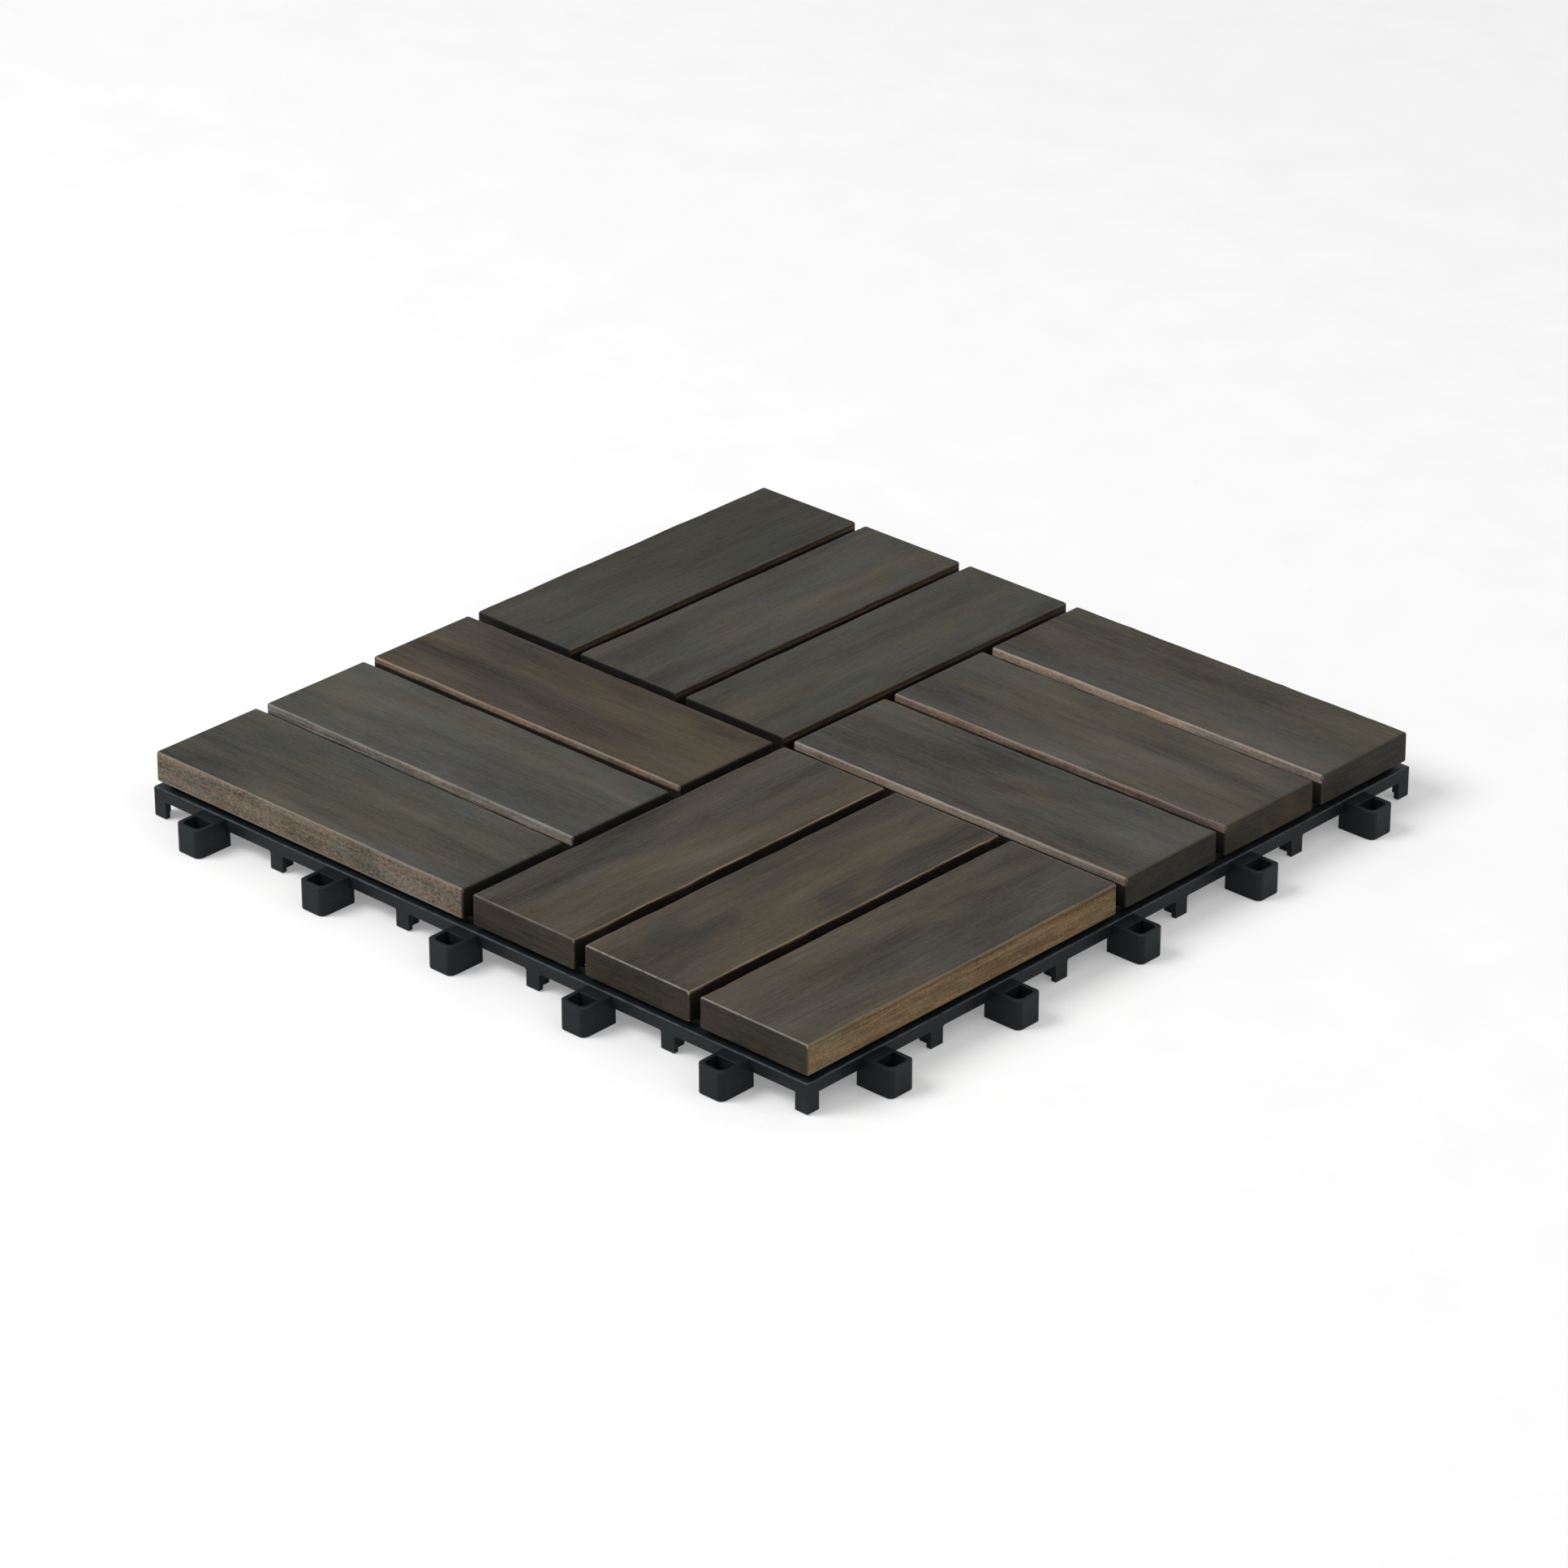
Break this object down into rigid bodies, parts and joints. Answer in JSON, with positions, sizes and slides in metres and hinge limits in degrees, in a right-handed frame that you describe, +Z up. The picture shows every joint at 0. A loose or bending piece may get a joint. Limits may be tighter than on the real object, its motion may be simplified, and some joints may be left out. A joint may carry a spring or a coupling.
{
  "type": "interlocking deck tile",
  "caption": "Square deck tile of dark wooden slats in a basket weave on a black moulded grid, with interlocking loops along adjacent sides and pegs in pockets along the others.",
  "frame": {"origin": "centre of the tile on the plane of its feet, under the base's middle foot", "axes": "+Z up out of the deck face; the loops stand out of the -Y and +X sides"},
  "size_m": [0.3127, 0.3127, 0.024],
  "materials": {
    "base_plastic": "satin moulded",
    "stained_wood": "dark stained and oiled",
    "screw_steel": "bright zinc"
  },
  "bodies": {
    "root": {"base": "base_plastic", "screws": "screw_steel", "slat_left_1": "stained_wood", "slat_left_2": "stained_wood", "slat_left_3": "stained_wood", "slat_front_1": "stained_wood", "slat_front_2": "stained_wood", "slat_front_3": "stained_wood", "slat_right_1": "stained_wood", "slat_right_2": "stained_wood", "slat_right_3": "stained_wood", "slat_back_1": "stained_wood", "slat_back_2": "stained_wood", "slat_back_3": "stained_wood"}
  },
  "joints": []
}
